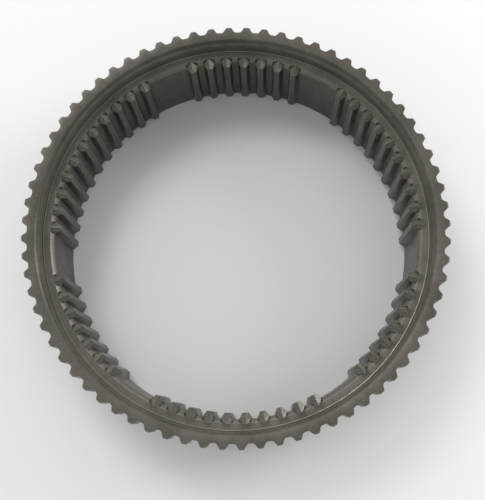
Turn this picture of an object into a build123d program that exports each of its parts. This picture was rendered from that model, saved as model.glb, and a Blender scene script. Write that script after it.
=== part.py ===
from build123d import *
from math import radians, tan
import os

# Gearbox shift sleeve: one turned steel ring with teeth inside and out.
# It lies on its plain rear face, with the toothed rim and the pointed inner teeth facing up.
# The origin is the centre of the rear face and Z is the ring's axis.
# X passes through the middle tooth of the first key group, and both sides of it are alike.
# Lengths are in millimetres and angles in degrees.

# The ring as a whole, from the outer tooth tips in to the inner tooth tips
outer_tip_radius = 100.0
outer_tooth_height = 2.7
rim_wall = 4.8
shoulder_ledge = 6.0
inner_tooth_height = 3.0
sleeve_width = 57.0

# Outer teeth on the rim at the front
rim_width = 19.0
rim_rear_chamfer = 0.9
rim_front_chamfer = 0.6
outer_tooth_count = 72
outer_space_width = 3.0
outer_flank_angle = 33.0
outer_corner_break = 0.35
outer_root_chamfer = 0.5

# Groove round the outside for the shift fork, and the collar behind it
collar_step = 0.3
collar_rear_chamfer = 1.5
collar_groove_chamfer = 0.8
groove_width = 14.0
groove_depth = 5.5
groove_floor_chamfer = 1.0

# Smooth counterbore in the front face
counterbore_depth = 9.4
counterbore_mouth_chamfer = 1.3
counterbore_foot_chamfer = 1.0

# Inner spline teeth, each pointed by a cutter that sinks a little into the shoulder behind it
inner_position_count = 64
inner_space_width = 2.9
inner_flank_angle = 27.0
front_lead_in = 1.8
rear_lead_in = 0.8
point_setback = 0.3
point_angle = 40.0
pocket_reach = 2.4
pocket_gable = 1.0
pocket_side = 0.1

# Key groups of inner teeth, each set apart by teeth left out on both sides
key_group_count = 3
key_group_teeth = 7
gap_teeth = 2

# How far a cutting shape runs past the surface that it cuts
overrun = 1.0

# Radii that follow from the sizes above
outer_root_radius = outer_tip_radius - outer_tooth_height
counterbore_radius = outer_root_radius - rim_wall
inner_root_radius = counterbore_radius - shoulder_ledge
inner_tip_radius = inner_root_radius - inner_tooth_height
front_mouth_radius = inner_root_radius + front_lead_in
rear_mouth_radius = inner_root_radius + rear_lead_in
apex_radius = inner_root_radius + pocket_reach
gable_radius = apex_radius - pocket_gable
collar_radius = outer_root_radius - collar_step
groove_floor_radius = collar_radius - groove_depth

# Heights and the tooth angle that follow from them
shoulder_z = sleeve_width - counterbore_depth
ridge_z = shoulder_z - point_setback
rim_rear_z = sleeve_width - rim_width
groove_rear_z = rim_rear_z - groove_width
inner_pitch_angle = 360 / inner_position_count


def has_tooth(position):
    """True where an inner tooth stands, False in the gaps beside each key group."""
    half_group = (key_group_teeth - 1) // 2
    for group in range(key_group_count):
        centre = round(group * inner_position_count / key_group_count)
        apart = abs(position - centre)
        apart = min(apart, inner_position_count - apart)
        if half_group < apart <= half_group + gap_teeth:
            return False
    return True


# One inner tooth on the X axis: past the root its foot runs on into the wall, up to a gable
root_half = (radians(inner_pitch_angle) * inner_root_radius - inner_space_width) / 2
with BuildPart() as inner_tooth:
    tip_half = root_half - inner_tooth_height * tan(radians(inner_flank_angle))
    with BuildSketch(Plane.XY.offset(rear_lead_in / 2)):
        with BuildLine():
            Polyline(
                (inner_tip_radius, -tip_half),
                (inner_root_radius, -root_half),
                (gable_radius, -root_half),
                (apex_radius, 0),
                (gable_radius, root_half),
                (inner_root_radius, root_half),
                (inner_tip_radius, tip_half),
                close=True,
            )
        make_face()
    extrude(amount=ridge_z - rear_lead_in / 2)

# What the cutter takes off to point that tooth: from above it has the outline of a house,
# with the same gable outwards, and underneath it leaves a roof whose ridge runs radially
with BuildPart() as point_cut:
    with BuildSketch(Plane.XY.offset(shoulder_z - counterbore_depth)):
        with BuildLine():
            cut_half = root_half + pocket_side
            Polyline(
                (inner_tip_radius - overrun, -cut_half),
                (gable_radius, -cut_half),
                (apex_radius, 0),
                (gable_radius, cut_half),
                (inner_tip_radius - overrun, cut_half),
                close=True,
            )
        make_face()
    extrude(amount=counterbore_depth + overrun)
    with BuildSketch(Plane.YZ):
        with BuildLine():
            eave_half = cut_half + overrun
            eave_z = ridge_z - eave_half * tan(radians(point_angle))
            Polyline(
                (-eave_half, 0),
                (eave_half, 0),
                (eave_half, eave_z),
                (0, ridge_z),
                (-eave_half, eave_z),
                close=True,
            )
        make_face()
    extrude(amount=2 * outer_tip_radius, mode=Mode.SUBTRACT)

# One space between outer teeth, drawn about the root circle
with BuildSketch() as outer_space:
    floor_half = outer_space_width / 2
    flank_height = outer_tooth_height - outer_corner_break
    flank_half = floor_half + flank_height * tan(radians(outer_flank_angle))
    mouth_half = flank_half + outer_corner_break
    with BuildLine():
        Polyline(
            (0, -floor_half),
            (flank_height, -flank_half),
            (outer_tooth_height, -mouth_half),
            (outer_tooth_height + overrun, -mouth_half),
            (outer_tooth_height + overrun, mouth_half),
            (outer_tooth_height, mouth_half),
            (flank_height, flank_half),
            (0, floor_half),
            close=True,
        )
    make_face()
    chamfer(outer_space.vertices().group_by(Axis.X)[0], outer_root_chamfer)

with BuildPart() as shift_sleeve:
    # The turned ring, with the inner teeth still to come
    with BuildSketch(Plane.XZ) as ring_section:
        with BuildLine():
            Polyline(
                (inner_root_radius, 0),
                (collar_radius, 0),
                (collar_radius, groove_rear_z),
                (groove_floor_radius, groove_rear_z),
                (groove_floor_radius, rim_rear_z),
                (outer_tip_radius, rim_rear_z),
                (outer_tip_radius, sleeve_width),
                (counterbore_radius, sleeve_width),
                (counterbore_radius, shoulder_z),
                (front_mouth_radius, shoulder_z),
                (inner_root_radius, shoulder_z - front_lead_in),
                close=True,
            )
        make_face()
        # All corners are picked before the first is cut, as a cut can leave one at another's radius
        corners = ring_section.vertices()
        collar = corners.filter_by_position(Axis.X, collar_radius, collar_radius)
        groove_floor = corners.filter_by_position(Axis.X, groove_floor_radius, groove_floor_radius)
        rim = corners.filter_by_position(Axis.X, outer_tip_radius, outer_tip_radius)
        counterbore = corners.filter_by_position(Axis.X, counterbore_radius, counterbore_radius)
        chamfer(collar.sort_by(Axis.Y)[0], collar_rear_chamfer)
        chamfer(collar.sort_by(Axis.Y)[-1], collar_groove_chamfer)
        chamfer(groove_floor, groove_floor_chamfer)
        chamfer(rim.sort_by(Axis.Y)[0], rim_rear_chamfer)
        chamfer(rim.sort_by(Axis.Y)[-1], rim_front_chamfer)
        chamfer(counterbore.sort_by(Axis.Y)[0], counterbore_foot_chamfer)
        chamfer(counterbore.sort_by(Axis.Y)[-1], counterbore_mouth_chamfer)
    revolve(axis=Axis.Z)

    # Outer teeth: the spaces between them are cut through the rim, the first one on X
    with BuildSketch(Plane.XY.offset(rim_rear_z - overrun)):
        with PolarLocations(outer_root_radius, outer_tooth_count):
            add(outer_space.sketch)
    extrude(amount=rim_width + 2 * overrun, mode=Mode.SUBTRACT)

    # Inner teeth
    tooth_places = [
        Location((0, 0, 0), (0, 0, position * inner_pitch_angle))
        for position in range(inner_position_count)
        if has_tooth(position)
    ]
    with Locations(*tooth_places):
        add(inner_tooth.part)
        add(point_cut.part, mode=Mode.SUBTRACT)

    # Lead-in cone at the rear, across the teeth and the edge of the bore
    with BuildSketch(Plane.XZ):
        with BuildLine():
            cone_radius = inner_tip_radius - overrun
            Polyline(
                (cone_radius, -overrun),
                (rear_mouth_radius + overrun, -overrun),
                (cone_radius, rear_mouth_radius - cone_radius),
                close=True,
            )
        make_face()
    revolve(axis=Axis.Z, mode=Mode.SUBTRACT)

shift_sleeve.part.label = "shift_sleeve"

os.makedirs("parts", exist_ok=True)
export_step(shift_sleeve.part, "parts/shift_sleeve.step")
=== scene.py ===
import logging
import math
from dataclasses import dataclass, field
from enum import Enum
from typing import Callable, Union

import bpy
import numpy as np
from mathutils import Matrix, Vector


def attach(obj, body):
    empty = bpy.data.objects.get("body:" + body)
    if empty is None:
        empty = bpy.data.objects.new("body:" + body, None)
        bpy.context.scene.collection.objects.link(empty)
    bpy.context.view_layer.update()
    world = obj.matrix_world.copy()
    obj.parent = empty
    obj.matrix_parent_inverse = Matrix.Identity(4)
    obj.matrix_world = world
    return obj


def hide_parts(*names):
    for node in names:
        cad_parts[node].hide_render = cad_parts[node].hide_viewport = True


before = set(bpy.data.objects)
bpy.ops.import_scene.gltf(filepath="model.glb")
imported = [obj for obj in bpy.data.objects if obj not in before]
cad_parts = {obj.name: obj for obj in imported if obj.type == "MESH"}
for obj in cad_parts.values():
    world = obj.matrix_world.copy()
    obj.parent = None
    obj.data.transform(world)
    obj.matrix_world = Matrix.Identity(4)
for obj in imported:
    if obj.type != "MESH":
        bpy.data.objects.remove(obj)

# A gearbox shift sleeve: one steel ring with teeth inside and out, phosphated and oiled.
# Its sizes are in millimetres and degrees, and become metres where a mesh is written.
# Z is the ring's axis, with the toothed front face up, and X runs through the middle tooth
# of the first key group.

# One millimetre in metres, and the number of stations across a fillet
MM = 0.001
FILLET_STEPS = 4
LOG = logging.getLogger("shift_sleeve")

Colour = tuple[float, float, float]
Span = tuple[float, float]
Socket = bpy.types.NodeSocket
Value = Union[Socket, float, Vector, tuple[float, ...]]
Length = Union[np.ndarray, float]


class Cut(Enum):
    """How a strip of the sleeve's surface was made."""

    TURNED = "turned"
    SHAPED = "shaped"
    BORED = "bored"
    BROACHED = "broached"
    EDGE = "edge"
    MOUTH = "mouth"
    WALL = "wall"
    LIP = "lip"


# Painted light and shade per cut: how much lighter each cut's mottled colour is painted than that of a
# plain turned face, as a share of the step from the finish's dark colour to its light one, and below 0
# where it is painted darker. The counterbore wall, the pocket walls and the shaped faces are painted
# lighter for light the lamps don't bring them, and the broached spline and the mouth chamfer darker as
# painted shade.
CUT_PAINTED_LIGHT = {
    Cut.SHAPED: 0.4,
    Cut.WALL: 0.4,
    Cut.BORED: 0.9,
    Cut.BROACHED: -0.2,
    Cut.MOUTH: -0.3,
}


@dataclass(frozen=True)
class ToothOutline:
    """Half of a repeated tooth outline, as straight runs between corners seen from the axis.

    The corners are (x, y) points in mm, with x along the middle of the half that repeats.
    """

    corners: np.ndarray

    def angles(self) -> np.ndarray:
        """Angle of each corner from the middle, in degrees."""
        return np.degrees(np.arctan2(self.corners[:, 1], self.corners[:, 0]))

    def radius(self, offset: np.ndarray) -> np.ndarray:
        """Radius at which a ray from the axis meets the outline.

        A ray crosses the run from corner p along d at the radius (p x d) / (ray x d), where x
        is the flat cross product. Past the last corner the last run goes on straight.

        Args:
            offset: angles from the middle, in degrees.

        Returns:
            The radius for each angle, in mm.
        """
        run = np.searchsorted(self.angles(), offset, side="right") - 1
        run = np.clip(run, 0, len(self.corners) - 2)
        start = self.corners[run]
        step = self.corners[run + 1] - start
        turn = np.radians(offset)
        top = start[..., 0] * step[..., 1] - start[..., 1] * step[..., 0]
        return top / (np.cos(turn) * step[..., 1] - np.sin(turn) * step[..., 0])


class ToothPlaces:
    """Equal places for teeth or for their spaces all round the axis, the first one on X."""

    count: int

    def pitch(self) -> float:
        """Angle between neighbouring places, in degrees."""
        return 360 / self.count

    def offset(self, angle: np.ndarray) -> np.ndarray:
        """Distance of each angle from the middle of its place, in degrees."""
        return np.abs(angle - np.round(angle / self.pitch()) * self.pitch())

    def all_round(self, half: np.ndarray) -> np.ndarray:
        """Repeats distances from a place's middle on both its sides, at every place."""
        middle = np.arange(self.count)[:, None] * self.pitch()
        return np.concatenate([middle + half, middle - half], axis=1).ravel()


@dataclass(frozen=True)
class OuterTeeth(ToothPlaces):
    """The teeth round the rim, given by the equal spaces between them."""

    count: int = 72
    tip_radius: float = 100.0
    height: float = 2.7
    space_width: float = 3.0
    flank_angle: float = 33.0
    root_chamfer: float = 0.5
    corner_break: float = 0.35

    def outline(self) -> ToothOutline:
        """Half of one space: its floor, root chamfer, flank and broken tip corner.

        Returns:
            The outline, from the middle of the space to the tip circle.
        """
        root = self.tip_radius - self.height
        lean = math.radians(self.flank_angle)
        half = self.space_width / 2
        rise = self.height - self.corner_break
        side = half + rise * math.tan(lean)
        mouth = side + self.corner_break
        return ToothOutline(
            np.array(
                [
                    (root, 0.0),
                    (root, half - self.root_chamfer),
                    (
                        root + self.root_chamfer * math.cos(lean),
                        half + self.root_chamfer * math.sin(lean),
                    ),
                    (root + rise, side),
                    (math.sqrt(self.tip_radius**2 - mouth**2), mouth),
                ]
            )
        )

    def samples(self) -> np.ndarray:
        """Angles at which the rim's outline has a corner, all the way round, unsorted."""
        return self.all_round(np.append(self.outline().angles(), self.pitch() / 2))

    def radius(self, angle: np.ndarray) -> np.ndarray:
        """Radius of the toothed rim at each angle: the space's outline, ended by the tip circle."""
        return np.minimum(self.outline().radius(self.offset(angle)), self.tip_radius)

    def is_edge(self, angle: np.ndarray) -> np.ndarray:
        """Tells where the broken tip corners of the teeth are.

        Args:
            angle: angles round the ring, in degrees.

        Returns:
            True for each angle that lies on a broken corner.
        """
        corners = self.outline().angles()
        offset = self.offset(angle)
        return (offset > corners[-2]) & (offset < corners[-1])


@dataclass(frozen=True)
class InnerTeeth(ToothPlaces):
    """The pointed spline teeth inside, in key groups set apart by teeth left out.

    The split is the angle over which the surface steps at a tooth's root and at its pocket's
    side. A pocket is the cut that points a tooth, where it sinks into the shoulder behind.
    """

    count: int = 64
    tip_radius: float = 83.5
    root_radius: float = 86.5
    space_width: float = 2.9
    flank_angle: float = 27.0
    corner_break: float = 0.16
    ridge_half: float = 0.1
    point_angle: float = 33.0
    pocket_reach: float = 2.4
    pocket_gable: float = 1.0
    pocket_side: float = 0.1
    pocket_lean: float = 6.0
    pocket_fillet: float = 0.3
    group_count: int = 3
    group_teeth: int = 7
    gap_teeth: int = 2
    split: float = 0.03

    def outline(self) -> ToothOutline:
        """Half of one tooth: its tip land, broken corner and flank out to the root circle.

        Returns:
            The outline, from the middle of the tooth to the root circle.
        """
        slope = math.tan(math.radians(self.flank_angle))
        pitch = 2 * math.pi * self.root_radius / self.count
        root_half = (pitch - self.space_width) / 2
        tip_half = root_half - slope * (self.root_radius - self.tip_radius)
        return ToothOutline(
            np.array(
                [
                    (self.tip_radius, 0.0),
                    (self.tip_radius, tip_half - self.corner_break),
                    (
                        self.tip_radius + self.corner_break,
                        tip_half + self.corner_break * slope,
                    ),
                    (self.root_radius, root_half),
                ]
            )
        )

    def present(self) -> np.ndarray:
        """Tells which places have a tooth: those beside a key group are left empty.

        Returns:
            One True or False for each place.
        """
        place = np.arange(self.count)
        there = np.ones(self.count, bool)
        half = (self.group_teeth - 1) // 2
        for group in range(self.group_count):
            centre = round(group * self.count / self.group_count)
            apart = np.abs(place - centre)
            apart = np.minimum(apart, self.count - apart)
            there &= (apart <= half) | (apart > half + self.gap_teeth)
        return there

    def has_tooth(self, angle: np.ndarray) -> np.ndarray:
        """True at the angles whose place has a tooth."""
        return self.present()[np.round(angle / self.pitch()).astype(int) % self.count]

    def on_tooth(self, angle: np.ndarray) -> np.ndarray:
        """True at the angles that lie between the flanks of a tooth."""
        return self.has_tooth(angle) & (self.offset(angle) < self.outline().angles()[-1])

    def apex_radius(self) -> float:
        """Radius of the apex of a pocket's gable, in mm."""
        return self.root_radius + self.pocket_reach

    def pocket_half(self) -> float:
        """Half the width of a pocket, in mm."""
        return float(self.outline().corners[-1, 1]) + self.pocket_side

    def side_angle(self) -> float:
        """Angle from a tooth's middle to its pocket's side, where the gable starts, in degrees."""
        return math.degrees(self.pocket_half() / (self.apex_radius() - self.pocket_gable))

    def samples(self, mouth_radius: float) -> np.ndarray:
        """Angles at which the spline's surface has a corner, all the way round.

        Args:
            mouth_radius: outer radius of the lead-in cone, which the gables cross, in mm.

        Returns:
            The angles in degrees, unsorted.
        """
        crossing = (self.apex_radius() - mouth_radius) / self.pocket_gable * self.pocket_half()
        ridge = math.degrees(self.ridge_half / self.tip_radius)
        cross = math.degrees(crossing / mouth_radius)
        corners = self.outline().angles()
        root = [corners[3] - self.split / 2, corners[3] + self.split / 2]
        side = [self.side_angle(), self.side_angle() + self.split]
        half = [ridge, corners[1], corners[2], cross, *root, *side, self.pitch() / 2]
        return self.all_round(np.array(half))

    def in_pocket(self, angle: np.ndarray) -> np.ndarray:
        """True at the angles that a tooth's pocket takes in."""
        return self.has_tooth(angle) & (self.offset(angle) < self.side_angle() + self.split / 3)

    def pocket_radius(self, angle: np.ndarray) -> np.ndarray:
        """Radius of the gable that ends a pocket.

        The gable is straight from its apex to the pocket's side, so its distance from the axis
        along the tooth falls evenly with the distance from the tooth's middle plane.

        Args:
            angle: angle round the ring, in degrees.

        Returns:
            The radius in mm.
        """
        turn = np.radians(self.offset(angle))
        slope = self.pocket_gable / self.pocket_half()
        return self.apex_radius() / (np.cos(turn) + slope * np.sin(turn))

    def radius(self, angle: np.ndarray) -> np.ndarray:
        """Radius of the spline at each angle: a tooth's outline, or the root circle."""
        tooth = np.minimum(self.outline().radius(self.offset(angle)), self.root_radius)
        return np.where(self.on_tooth(angle), tooth, self.root_radius)

    def roof_drop(self, radius: np.ndarray, angle: np.ndarray) -> np.ndarray:
        """How far a tooth's pointed end lies below its ridge.

        The drop is the distance from the tooth's middle plane, less the ridge's narrow flat,
        times the tangent of the point angle.

        Args:
            radius: distance from the ring's axis, in mm.
            angle: angle round the ring, in degrees.

        Returns:
            The drop in mm.
        """
        aside = np.maximum(radius * np.sin(np.radians(self.offset(angle))) - self.ridge_half, 0)
        return aside * math.tan(math.radians(self.point_angle))

    def is_edge(self, angle: np.ndarray) -> np.ndarray:
        """Tells where the broken tip corners of the teeth are.

        Args:
            angle: angles round the ring, in degrees.

        Returns:
            True for each angle that lies on a broken corner.
        """
        corners = self.outline().angles()
        offset = self.offset(angle)
        return self.on_tooth(angle) & (offset > corners[1]) & (offset < corners[2])


@dataclass(frozen=True)
class RingBody:
    """The turned body: rim, fork groove, collar, counterbore and ledge.

    The edge break is about half the width of a broken edge. The lip is a fine raised line that
    the cutter has left on the ledge, a little way in from the counterbore's wall.
    """

    width: float = 57.0
    rim_width: float = 19.0
    rim_front_chamfer: float = 0.6
    rim_rear_chamfer: float = 0.9
    collar_radius: float = 97.0
    collar_rear_chamfer: float = 1.5
    collar_groove_chamfer: float = 0.8
    groove_width: float = 14.0
    groove_floor_radius: float = 91.5
    groove_floor_chamfer: float = 1.0
    counterbore_radius: float = 92.5
    counterbore_depth: float = 9.4
    mouth_chamfer: float = 1.3
    foot_fillet: float = 0.3
    lip_radius: float = 91.5
    lip_width: float = 0.24
    lip_height: float = 0.05
    front_lead_in: float = 1.8
    rear_lead_in: float = 0.8
    point_setback: float = 0.3
    edge_break: float = 0.05

    def ledge(self) -> float:
        """Height of the ledge at the counterbore's foot, in mm."""
        return self.width - self.counterbore_depth


@dataclass(frozen=True)
class Speckle:
    """An even noise: its cells per metre, its octaves, their roughness, and if it is 2-D."""

    cells: float
    octaves: float
    rough: float = 0.5
    flat: bool = False


class Bench:
    """The node tree of a material or a world, with short calls for the nodes used here."""

    def __init__(self, owner: Union[bpy.types.Material, bpy.types.World]) -> None:
        """Opens the owner's node tree."""
        owner.use_nodes = True
        self.tree = owner.node_tree

    def add(self, kind: str, **settings: object) -> bpy.types.Node:
        """Adds a node and sets its own options.

        Args:
            kind: the node's type.
            settings: its options by name.

        Returns:
            The node.
        """
        node = self.tree.nodes.new(kind)
        for name, value in settings.items():
            setattr(node, name, value)
        return node

    def put(self, value: Value, target: Socket) -> None:
        """Links a socket to an input, or writes a plain value into it.

        Args:
            value: a socket, a number, a vector or a colour.
            target: the input.
        """
        if isinstance(value, Socket):
            self.tree.links.new(value, target)
        else:
            target.default_value = value

    def fill(self, node: bpy.types.Node, values: dict[str, Value]) -> None:
        """Puts a value into each of a node's inputs that is named."""
        for name, value in values.items():
            self.put(value, node.inputs[name])

    def math(self, operation: str, *values: Value) -> Socket:
        """One arithmetic step on one to three numbers.

        Args:
            operation: the step.
            values: the numbers, each a socket or a plain one.

        Returns:
            The result.
        """
        node = self.add("ShaderNodeMath", operation=operation)
        for value, target in zip(values, node.inputs):
            self.put(value, target)
        return node.outputs[0]

    def noise(self, place: Socket, speckle: Speckle) -> Socket:
        """Even noise from 0 to 1.

        Args:
            place: where it is read, in metres.
            speckle: its sizes.

        Returns:
            The noise.
        """
        node = self.add("ShaderNodeTexNoise", noise_dimensions="2D" if speckle.flat else "3D")
        sizes = {"Scale": speckle.cells, "Detail": speckle.octaves, "Roughness": speckle.rough}
        self.fill(node, {"Vector": place, **sizes})
        return node.outputs["Fac"]

    def span(self, value: Value, source: Span, target: Span = (0.0, 1.0)) -> Socket:
        """Maps one range of numbers on to another, held at both ends.

        Args:
            value: the number.
            source: the two ends of its range.
            target: what they become.

        Returns:
            The mapped number.
        """
        node = self.add("ShaderNodeMapRange", clamp=True)
        names = ("Value", "From Min", "From Max", "To Min", "To Max")
        self.fill(node, dict(zip(names, (value, *source, *target))))
        return node.outputs["Result"]

    def either(self, share: Value, first: Value, second: Value) -> Socket:
        """Goes from one number to another.

        Args:
            share: how far it goes, held between 0 and 1.
            first: the number at 0.
            second: the number at 1.

        Returns:
            The mixed number.
        """
        node = self.add("ShaderNodeMix", data_type="FLOAT")
        for value, index in ((share, 0), (first, 2), (second, 3)):
            self.put(value, node.inputs[index])
        return node.outputs[0]

    def blend(self, share: Value, first: Value, second: Value) -> Socket:
        """Goes from one colour to another, and past them too.

        Args:
            share: how far it goes, 0 at the first colour and 1 at the second.
            first: a colour or a socket.
            second: a colour or a socket.

        Returns:
            The mixed colour.
        """
        node = self.add("ShaderNodeMix", data_type="RGBA", clamp_factor=False)
        self.put(share, node.inputs[0])
        for value, index in ((first, 6), (second, 7)):
            self.put((*value, 1.0) if isinstance(value, tuple) else value, node.inputs[index])
        return node.outputs[2]

    def attribute(self, name: str) -> Socket:
        """A number stored on the mesh."""
        return self.add("ShaderNodeAttribute", attribute_name=name).outputs["Fac"]

    def here(self) -> Socket:
        """The place on the piece, in metres."""
        return self.add("ShaderNodeTexCoord").outputs["Object"]


@dataclass(frozen=True)
class OiledPhosphate:
    """Dark grey-brown phosphated steel with a thin film of oil, worn bright at its edges. Its lip on
    the ledge is painted bright, partly as worn bare steel and partly as a painted highlight.

    Its mottle is a mix of wide clouds and fine grain. The spans say between which values of a
    noise a change takes place. The bump's depth is in mm.
    """

    dark: Colour = (0.085, 0.078, 0.065)
    light: Colour = (0.150, 0.139, 0.118)
    # Bright bare steel, for worn edges and for the painted highlight on the lip
    worn_and_highlight: Colour = (0.50, 0.48, 0.43)
    grazing: Colour = (0.40, 0.40, 0.38)
    cloud: Speckle = Speckle(60.0, 4.0, 0.6)
    grain: Speckle = Speckle(900.0, 3.0, 0.6)
    turning: Speckle = Speckle(2600.0, 2.0, flat=True)
    shaping: Speckle = Speckle(2200.0, 2.0)
    stroke_shrink: float = 0.03
    cloud_share: float = 0.6
    mottle_span: Span = (0.34, 0.66)
    edge_span: Span = (0.35, 0.65)
    edge_wear: float = 0.35
    lip_span: Span = (0.3, 0.6)
    lip_painted_highlight: Span = (0.5, 0.9)
    roughness: float = 0.40
    rough_span: Span = (0.3, 0.7)
    mottle_rough: float = 0.06
    marks_rough: float = 0.04
    edge_smooth: float = 0.10
    shaped_smooth: float = 0.06
    burnish: float = 0.14
    bump_strength: float = 0.35
    bump_depth: float = 0.06
    bump_grain: float = 0.6
    metallic: float = 0.45
    coat: float = 0.15
    gloss: float = 0.4
    coat_roughness: float = 0.18

    def marks(self, bench: Bench, place: Socket, shaped: Socket) -> Socket:
        """The fine marks that the tools have left.

        Turned faces have rings, a noise over the distance from the axis and the height. Shaped
        faces have strokes, a noise that is drawn out along the axis.

        Args:
            bench: the steel's node tree.
            place: the place on the piece, in metres.
            shaped: 1 on shaped faces and 0 on turned ones.

        Returns:
            The height of the marks, from 0 to 1.
        """
        parts = bench.add("ShaderNodeSeparateXYZ")
        bench.put(place, parts.inputs[0])
        x, y, z = parts.outputs
        square = bench.math("ADD", bench.math("MULTIPLY", x, x), bench.math("MULTIPLY", y, y))
        section = bench.add("ShaderNodeCombineXYZ")
        bench.fill(section, {"X": bench.math("SQRT", square), "Y": z})
        rings = bench.noise(section.outputs[0], self.turning)
        along = bench.add("ShaderNodeMapping")
        bench.fill(along, {"Vector": place, "Scale": (1.0, 1.0, self.stroke_shrink)})
        strokes = bench.noise(along.outputs[0], self.shaping)
        return bench.either(shaped, rings, strokes)

    def bump(self, bench: Bench, marks: Socket, grain: Socket) -> Socket:
        """The bump of the marks and the grain.

        Args:
            bench: the steel's node tree.
            marks: height of the tool marks, from 0 to 1.
            grain: the fine grain, from 0 to 1.

        Returns:
            The bumped normal.
        """
        node = bench.add("ShaderNodeBump")
        height = bench.math("ADD", marks, bench.math("MULTIPLY", grain, self.bump_grain))
        depth = self.bump_depth * MM
        bench.fill(node, {"Height": height, "Strength": self.bump_strength, "Distance": depth})
        return node.outputs[0]

    def material(self) -> bpy.types.Material:
        """Builds the steel: mottled colour with painted light and shade per cut, tool marks, worn
        edges, and a lip painted bright as worn steel and painted highlight.

        Returns:
            The material.
        """
        steel = bpy.data.materials.new("oiled_phosphate_steel")
        bench = Bench(steel)
        place = bench.here()
        shaped, edge, lip, painted_light = map(bench.attribute, ("shaped", "edge", "lip", "painted_light"))
        cloud = bench.noise(place, self.cloud)
        grain = bench.noise(place, self.grain)
        clouded = bench.math("MULTIPLY", cloud, self.cloud_share)
        mottle = bench.math("MULTIPLY_ADD", grain, 1 - self.cloud_share, clouded)
        marks = self.marks(bench, place, shaped)

        rubbed = bench.math("MULTIPLY", edge, bench.span(grain, self.edge_span, (0.0, self.edge_wear)))
        # Painted highlight on the lip: its colour goes towards the bright worn steel, partly real wear
        # and partly a painted glint line
        bright = bench.math("MULTIPLY", lip, bench.span(cloud, self.lip_span, self.lip_painted_highlight))
        wear_and_highlight = bench.math("MAXIMUM", rubbed, bright)
        # Painted light and shade: each cut's mottled colour is moved lighter or darker by a set share,
        # standing in for light and shade that the lamps don't give.
        mottle_and_painted_light = bench.math("ADD", bench.span(mottle, self.mottle_span), painted_light)
        body = bench.blend(mottle_and_painted_light, self.dark, self.light)

        dull, glossy = self.roughness + self.mottle_rough, self.roughness - self.mottle_rough
        rough = bench.span(mottle, self.rough_span, (dull, glossy))
        cut = bench.span(marks, self.rough_span, (-self.marks_rough, self.marks_rough))
        rough = bench.math("ADD", rough, cut)
        rough = bench.math("MULTIPLY_ADD", wear_and_highlight, -self.edge_smooth, rough)
        rough = bench.math("MULTIPLY_ADD", shaped, -self.shaped_smooth, rough)
        rough = bench.math("MULTIPLY_ADD", lip, -self.burnish, rough)

        shader = {
            "Base Color": bench.blend(wear_and_highlight, body, self.worn_and_highlight),
            "Roughness": rough,
            "Normal": self.bump(bench, marks, grain),
            "Metallic": self.metallic,
            "Specular Tint": (*self.grazing, 1.0),
            "Specular IOR Level": self.gloss,
            "Coat Weight": self.coat,
            "Coat Roughness": self.coat_roughness,
        }
        bench.fill(bench.tree.nodes["Principled BSDF"], shader)
        return steel


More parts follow.
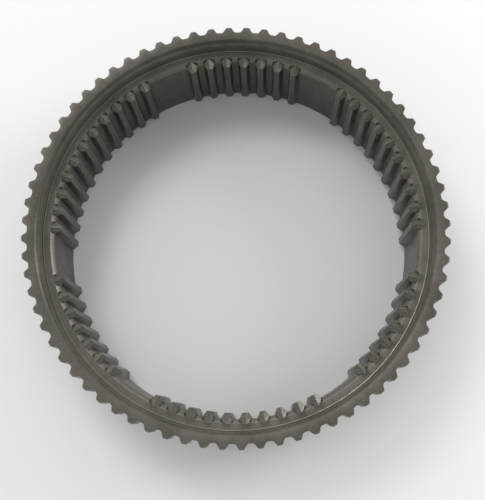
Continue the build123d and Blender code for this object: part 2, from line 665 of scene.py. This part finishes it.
@dataclass
class ShiftSleeve:
    """The whole sleeve as one closed surface, a function of the angle and of a walk round it.

    The walk goes round the ring's section, from the front face over the outside and the rear
    face and back through the bore. Each station of it is a radius and a height for every angle.
    """

    body: RingBody = RingBody()
    outer: OuterTeeth = OuterTeeth()
    inner: InnerTeeth = InnerTeeth()
    finish: OiledPhosphate = OiledPhosphate()
    sharp_angle: float = 28.0
    stations: list[tuple[Length, Length, Cut]] = field(default_factory=list)

    def angles(self) -> np.ndarray:
        """Gathers every angle at which the ring's surface has a column of points.

        Returns:
            The angles in degrees, from 0 up to 360, each one once.
        """
        mouth = self.inner.root_radius + self.body.front_lead_in
        both = np.concatenate([self.outer.samples(), self.inner.samples(mouth)])
        return np.unique(np.round(both % 360, 4))

    def place(self, radius: Length, height: Length, cut: Cut) -> None:
        """Adds a station to the walk round the section.

        Args:
            radius: distance from the axis, one for all angles or one for each, in mm.
            height: height above the rear face, in the same way.
            cut: how the strip from this station to the next one was made.
        """
        self.stations.append((radius, height, cut))

    def walk_outside(self, angle: np.ndarray) -> None:
        """Places the stations from the front face over the rim and collar to the rear face.

        A chamfer on the rim is a 45 degree cone. It takes off as much of the rim as stands out
        past it, and at least the break of an edge.

        Args:
            angle: the angles of the columns, in degrees.
        """
        body = self.body
        rim = self.outer.radius(angle)
        tip = self.outer.tip_radius
        front = np.maximum(body.edge_break, rim - (tip - body.rim_front_chamfer))
        rear = np.maximum(body.edge_break, rim - (tip - body.rim_rear_chamfer))
        rim_foot = body.width - body.rim_width
        groove_foot = rim_foot - body.groove_width
        floor = body.groove_floor_radius
        self.place(rim - front, body.width, Cut.EDGE)
        self.place(rim, body.width - front, Cut.SHAPED)
        self.place(rim, rim_foot + rear, Cut.EDGE)
        self.place(rim - rear, rim_foot, Cut.TURNED)
        self.place(floor + body.groove_floor_chamfer, rim_foot, Cut.TURNED)
        self.place(floor, rim_foot - body.groove_floor_chamfer, Cut.TURNED)
        self.place(floor, groove_foot + body.groove_floor_chamfer, Cut.TURNED)
        self.place(floor + body.groove_floor_chamfer, groove_foot, Cut.TURNED)
        self.place(body.collar_radius - body.collar_groove_chamfer, groove_foot, Cut.EDGE)
        self.place(body.collar_radius, groove_foot - body.collar_groove_chamfer, Cut.TURNED)
        self.place(body.collar_radius, body.collar_rear_chamfer, Cut.TURNED)
        self.place(body.collar_radius - body.collar_rear_chamfer, 0.0, Cut.TURNED)

    def walk_spline(self, angle: np.ndarray) -> None:
        """Places the stations from the rear face up the spline teeth and over their points.

        A point is a roof over its tooth. It runs inwards to the tooth's flank or tip, and
        outwards into the shoulder, up to the leaning wall under the gable of its pocket. A
        fillet joins roof and wall: as its turn grows from 0 to a right angle less the wall's
        lean, its distance from the wall's foot falls with the sine of the turn and its rise is
        one less the cosine of the turn, both times the fillet's radius.

        Where there is no pocket, the stations of the roof and the fillet lie close together
        just under the foot of the lead-in cone.

        Args:
            angle: the angles of the columns, in degrees.
        """
        body, teeth = self.body, self.inner
        gap = body.edge_break
        wall = teeth.radius(angle)
        rear_mouth = teeth.root_radius + body.rear_lead_in
        self.place(rear_mouth + gap, 0.0, Cut.EDGE)
        self.place(rear_mouth - gap, gap, Cut.TURNED)
        self.place(wall + gap, rear_mouth - wall - gap, Cut.EDGE)
        self.place(wall, rear_mouth - wall + gap, Cut.BROACHED)

        mouth = teeth.root_radius + body.front_lead_in
        cone_foot = body.ledge() - body.front_lead_in
        pocket = teeth.in_pocket(angle)
        gable = np.where(pocket, teeth.pocket_radius(angle), teeth.root_radius)

        def roof(radius: np.ndarray) -> np.ndarray:
            """Height of the point's roof at a radius."""
            return body.ledge() - body.point_setback - teeth.roof_drop(radius, angle)

        def shoulder(radius: np.ndarray) -> np.ndarray:
            """Height of the lead-in cone at a radius, or of the ledge beyond it."""
            return np.minimum(cone_foot + radius - teeth.root_radius, body.ledge())

        self.place(wall, np.where(pocket, roof(wall) - gap, cone_foot - 3 * gap), Cut.EDGE)
        lean = math.radians(teeth.pocket_lean)
        slant = np.maximum(shoulder(gable) - roof(gable), 0) * math.tan(lean)
        slant = np.minimum(slant, gable - wall - teeth.pocket_fillet - 3 * gap)
        facet_end = gable - slant - teeth.pocket_fillet - gap
        inner_end = np.where(pocket, np.minimum(wall + gap, facet_end), wall)
        self.place(inner_end, np.where(pocket, roof(inner_end), cone_foot - 2 * gap), Cut.SHAPED)
        for share in np.linspace(0, 1, FILLET_STEPS):
            turn = share * (math.pi / 2 - lean)
            inset = slant + teeth.pocket_fillet * (math.cos(lean) - math.sin(turn))
            foot = np.where(pocket, gable - inset, wall)
            room = np.maximum(shoulder(gable) - roof(foot), 0)
            rise = np.minimum(teeth.pocket_fillet, room / 2) * (1 - math.cos(turn))
            blank = cone_foot - gap * (2 - share) / 2
            self.place(foot, np.where(pocket, roof(foot) + rise, blank), Cut.WALL)
        self.place(gable + gap / 2, shoulder(gable + gap / 2), Cut.BORED)
        self.place(*self.beyond(gable + gap, mouth - gap, shoulder), Cut.EDGE)
        self.place(*self.beyond(gable + 2 * gap, mouth + gap, shoulder), Cut.TURNED)

    @staticmethod
    def beyond(
        least: np.ndarray, wanted: float, height: Callable[[np.ndarray], np.ndarray]
    ) -> tuple[np.ndarray, np.ndarray]:
        """A station at the wanted radius, moved out where a pocket reaches past it.

        Args:
            least: the smallest radius allowed at each angle, in mm.
            wanted: the radius elsewhere, in mm.
            height: gives the surface's height at a radius.

        Returns:
            The radius and the height for each angle.
        """
        radius = np.maximum(least, wanted)
        return radius, height(radius)

    def walk_counterbore(self) -> None:
        """Places the stations from the ledge up the counterbore to the front face.

        The lip on the ledge is two low slopes that meet at its middle. The fillet at the
        counterbore's foot is a quarter circle, its reach the sine of the turn and its rise one
        less the cosine of the turn, both times the fillet's radius.
        """
        body = self.body
        self.place(body.lip_radius - body.lip_width / 2, body.ledge(), Cut.LIP)
        self.place(body.lip_radius, body.ledge() + body.lip_height, Cut.LIP)
        self.place(body.lip_radius + body.lip_width / 2, body.ledge(), Cut.TURNED)
        foot = body.counterbore_radius - body.foot_fillet
        for share in np.linspace(0, 1, FILLET_STEPS):
            turn = share * math.pi / 2
            rise = body.foot_fillet * (1 - math.cos(turn))
            cut = Cut.BORED if share == 1 else Cut.TURNED
            self.place(foot + body.foot_fillet * math.sin(turn), body.ledge() + rise, cut)
        inner, outer = body.counterbore_radius, body.counterbore_radius + body.mouth_chamfer
        mouth, gap = body.width - body.mouth_chamfer, body.edge_break
        self.place(inner, mouth - gap, Cut.MOUTH)
        self.place(inner + gap, mouth + gap, Cut.MOUTH)
        self.place(outer - gap, body.width - gap, Cut.MOUTH)
        self.place(outer + gap, body.width, Cut.TURNED)

    def build(self) -> bpy.types.Object:
        """Makes the sleeve's mesh and dresses it in its finish.

        The vertex at angle a and station (r, z) is (r cos a, r sin a, z). Neighbouring angles
        and stations make four-sided faces, and both directions close on themselves.

        Returns:
            The object, with its place in its mesh.
        """
        angle = self.angles()
        self.walk_outside(angle)
        self.walk_spline(angle)
        self.walk_counterbore()
        radius = np.array([np.broadcast_to(r, angle.shape) for r, _, _ in self.stations])
        height = np.array([np.broadcast_to(z, angle.shape) for _, z, _ in self.stations])
        turn = np.radians(angle)
        points = np.stack([radius * np.cos(turn), radius * np.sin(turn), height], axis=-1)
        rows, columns = radius.shape
        index = np.arange(rows * columns).reshape(rows, columns)
        below = np.roll(index, -1, axis=0)
        faces = np.stack(
            [index, below, np.roll(below, -1, axis=1), np.roll(index, -1, axis=1)], axis=-1
        )
        mesh = bpy.data.meshes.new("shift_sleeve_skin")
        mesh.from_pydata((points.reshape(-1, 3) * MM).tolist(), [], faces.reshape(-1, 4).tolist())
        self.mark(mesh, angle)
        mesh.polygons.foreach_set("use_smooth", np.ones(len(mesh.polygons), bool))
        mesh.set_sharp_from_angle(angle=math.radians(self.sharp_angle))
        mesh.materials.append(self.finish.material())
        mesh.update()
        sleeve = bpy.data.objects.new("shift_sleeve_skin", mesh)
        bpy.context.scene.collection.objects.link(sleeve)
        return sleeve

    def mark(self, mesh: bpy.types.Mesh, angle: np.ndarray) -> None:
        """Gives each face four numbers, which the finish reads.

        They are shaped, 1 where it was cut along the axis, edge, 1 on a broken edge, lip, 1 on the lip
        of the ledge, which gets a painted highlight, and painted_light, the painted light and shade of
        its cut: how much lighter or darker it is painted.

        Args:
            mesh: the sleeve's mesh, its faces in rows of one station each.
            angle: the angles of the mesh's columns, in degrees.
        """
        middle = (angle + np.append(angle[1:], angle[0] + 360)) / 2
        corner = self.outer.is_edge(middle) | self.inner.is_edge(middle)

        def rows(*cuts: Cut) -> np.ndarray:
            """True on every face of the stations made by any of these cuts."""
            return np.repeat([[cut in cuts] for _, _, cut in self.stations], len(angle), axis=1)

        edge = rows(Cut.EDGE) | (rows(Cut.SHAPED, Cut.BROACHED) & corner)
        # Painted light and shade of each cut, none on the broken edges
        painted_light_rows = np.array([[CUT_PAINTED_LIGHT.get(cut, 0.0)] for _, _, cut in self.stations])
        marks = {
            "shaped": rows(Cut.SHAPED, Cut.WALL, Cut.BROACHED) & ~edge,
            "edge": edge,
            "lip": rows(Cut.LIP),
            "painted_light": painted_light_rows * ~edge,
        }
        for name, values in marks.items():
            layer = mesh.attributes.new(name, "FLOAT", "FACE")
            layer.data.foreach_set("value", values.ravel().astype(np.float32))


@dataclass(frozen=True)
class PaleFloor:
    """A plain pale sheet under the sleeve, its size and drop in metres.

    It has a painted glow where the camera sees it, straight or mirrored in the steel. The glow starts
    at a distance from the axis and is full at another, both in mm, so the floor in and near the ring's
    hole is left darker as painted shade.
    """

    colour: Colour = (0.88, 0.88, 0.88)
    roughness: float = 0.9
    size: float = 10.0
    drop: float = 0.0002
    glow: float = 0.10
    glow_start: float = 80.0
    glow_end: float = 120.0

    def material(self) -> bpy.types.Material:
        """Builds the pale paper with its glow.

        Returns:
            The material.
        """
        paper = bpy.data.materials.new("floor_paper")
        bench = Bench(paper)
        path = bench.add("ShaderNodeLightPath").outputs
        seen = bench.math("MAXIMUM", path["Is Camera Ray"], path["Is Glossy Ray"])
        seen = bench.math("MAXIMUM", seen, path["Is Transmission Ray"])
        away = bench.add("ShaderNodeVectorMath", operation="LENGTH")
        bench.put(bench.here(), away.inputs[0])
        reach = (self.glow_start * MM, self.glow_end * MM)
        glow = bench.span(away.outputs["Value"], reach, (0.0, self.glow))
        shader = {
            "Base Color": (*self.colour, 1.0),
            "Roughness": self.roughness,
            "Emission Color": (1.0, 1.0, 1.0, 1.0),
            "Emission Strength": bench.math("MULTIPLY", seen, glow),
        }
        bench.fill(bench.tree.nodes["Principled BSDF"], shader)
        return paper

    def build(self) -> bpy.types.Object:
        """Makes the floor, one square face just under the sleeve.

        Returns:
            The floor.
        """
        half = self.size / 2
        square = ((-half, -half), (half, -half), (half, half), (-half, half))
        mesh = bpy.data.meshes.new("floor")
        mesh.from_pydata([(x, y, -self.drop) for x, y in square], [], [(0, 1, 2, 3)])
        mesh.materials.append(self.material())
        floor = bpy.data.objects.new("floor", mesh)
        bpy.context.scene.collection.objects.link(floor)
        return floor


@dataclass(frozen=True)
class Viewpoint:
    """Where the camera stands and looks, in mm.

    The up angle is the direction round the ring's axis that points up in the picture, in
    degrees. The lens and the sensor are in mm, and the clip distances in metres.
    """

    eye: tuple[float, float, float] = (54.99, -65.77, 490.75)
    aim: tuple[float, float, float] = (7.76, -6.09, 57.0)
    up_angle: float = 120.7
    lens: float = 68.49
    sensor: float = 36.0
    clip: Span = (0.01, 20.0)

    def axes(self) -> Matrix:
        """Works out which way the view faces.

        Returns:
            Its right, up and back directions, as the columns of a matrix.
        """
        back = (Vector(self.eye) - Vector(self.aim)).normalized()
        turn = math.radians(self.up_angle)
        right = Vector((math.cos(turn), math.sin(turn), 0)).cross(back).normalized()
        return Matrix((right, back.cross(right), back)).transposed()

    def build(self) -> bpy.types.Object:
        """Makes the camera and hands it to the scene.

        Returns:
            The camera.
        """
        data = bpy.data.cameras.new("camera")
        data.lens = self.lens
        data.sensor_width = self.sensor
        data.clip_start, data.clip_end = self.clip
        camera = bpy.data.objects.new("camera", data)
        camera.matrix_world = Matrix.Translation(Vector(self.eye) * MM) @ self.axes().to_4x4()
        bpy.context.scene.collection.objects.link(camera)
        bpy.context.scene.camera = camera
        return camera


@dataclass(frozen=True)
class SoftLamp:
    """A square lamp, placed by its direction in the view: right, up and towards the eye.

    Its distance and size are in metres, and its power in watts.
    """

    name: str
    toward: tuple[float, float, float]
    distance: float
    size: float
    power: float

    def build(self, axes: Matrix) -> bpy.types.Object:
        """Makes the lamp, turned to face the sleeve.

        Args:
            axes: right, up and back directions of the view.

        Returns:
            The lamp.
        """
        data = bpy.data.lights.new(self.name, "AREA")
        data.energy = self.power
        data.size = self.size
        lamp = bpy.data.objects.new(self.name, data)
        direction = (axes @ Vector(self.toward)).normalized()
        lamp.location = direction * self.distance
        lamp.rotation_mode = "QUATERNION"
        lamp.rotation_quaternion = direction.to_track_quat("Z", "Y")
        bpy.context.scene.collection.objects.link(lamp)
        return lamp


@dataclass(frozen=True)
class Sky:
    """A white sky that fades upwards and is brighter on one side.

    The turn is the angle from the picture's up direction to the bright side, in degrees.
    """

    low: float = 0.95
    high: float = 0.54
    side: float = 0.55
    turn: float = 28.0

    def build(self, up_angle: float) -> bpy.types.World:
        """Makes the sky and hands it to the scene.

        Its strength goes from low, level with the floor, to high, straight up. It is multiplied
        by one plus side times how far the direction points to the bright side, from -1 to 1.

        Args:
            up_angle: the picture's up direction round the ring's axis, in degrees.

        Returns:
            The sky.
        """
        world = bpy.data.worlds.new("sky")
        bench = Bench(world)
        direction = bench.add("ShaderNodeTexCoord").outputs["Generated"]
        parts = bench.add("ShaderNodeSeparateXYZ")
        bench.put(direction, parts.inputs[0])
        fade = bench.span(parts.outputs["Z"], (0.0, 1.0), (self.low, self.high))
        bright = math.radians(up_angle + self.turn)
        toward = bench.add("ShaderNodeVectorMath", operation="DOT_PRODUCT")
        bench.put(direction, toward.inputs[0])
        bench.put(Vector((math.cos(bright), math.sin(bright), 0)) * self.side, toward.inputs[1])
        tilt = bench.math("ADD", toward.outputs["Value"], 1.0)
        strength = bench.math("MULTIPLY", fade, tilt)
        light = {"Color": (1.0, 1.0, 1.0, 1.0), "Strength": strength}
        bench.fill(bench.tree.nodes["Background"], light)
        bpy.context.scene.world = world
        return world


@dataclass(frozen=True)
class Studio:
    """The floor, the lamps, the sky and the camera."""

    viewpoint: Viewpoint = Viewpoint()
    floor: PaleFloor = PaleFloor()
    sky: Sky = Sky()
    lamps: tuple[SoftLamp, ...] = (
        SoftLamp("window_right", (0.83, 0.42, 0.38), 1.2, 0.50, 4.5),
        SoftLamp("window_back", (-0.40, 0.68, 0.90), 1.3, 0.4, 3.6),
    )

    def build(self) -> bpy.types.Object:
        """Sets up everything around the sleeve.

        Returns:
            The floor.
        """
        bpy.context.scene.view_settings.view_transform = "Standard"
        self.sky.build(self.viewpoint.up_angle)
        self.viewpoint.build()
        floor = self.floor.build()
        for lamp in self.lamps:
            lamp.build(self.viewpoint.axes())
        return floor


def main() -> None:
    """Builds the studio and the sleeve, and reports each piece."""
    logging.basicConfig(level=logging.INFO, format="%(message)s")
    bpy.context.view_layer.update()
    floor = Studio().build()
    LOG.info("%s: %d face", floor.name, len(floor.data.polygons))
    skin = ShiftSleeve().build()
    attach(skin, "root")
    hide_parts("shift_sleeve")
    LOG.info("%s: %d faces", skin.name, len(skin.data.polygons))


if __name__ == "__main__":
    main()
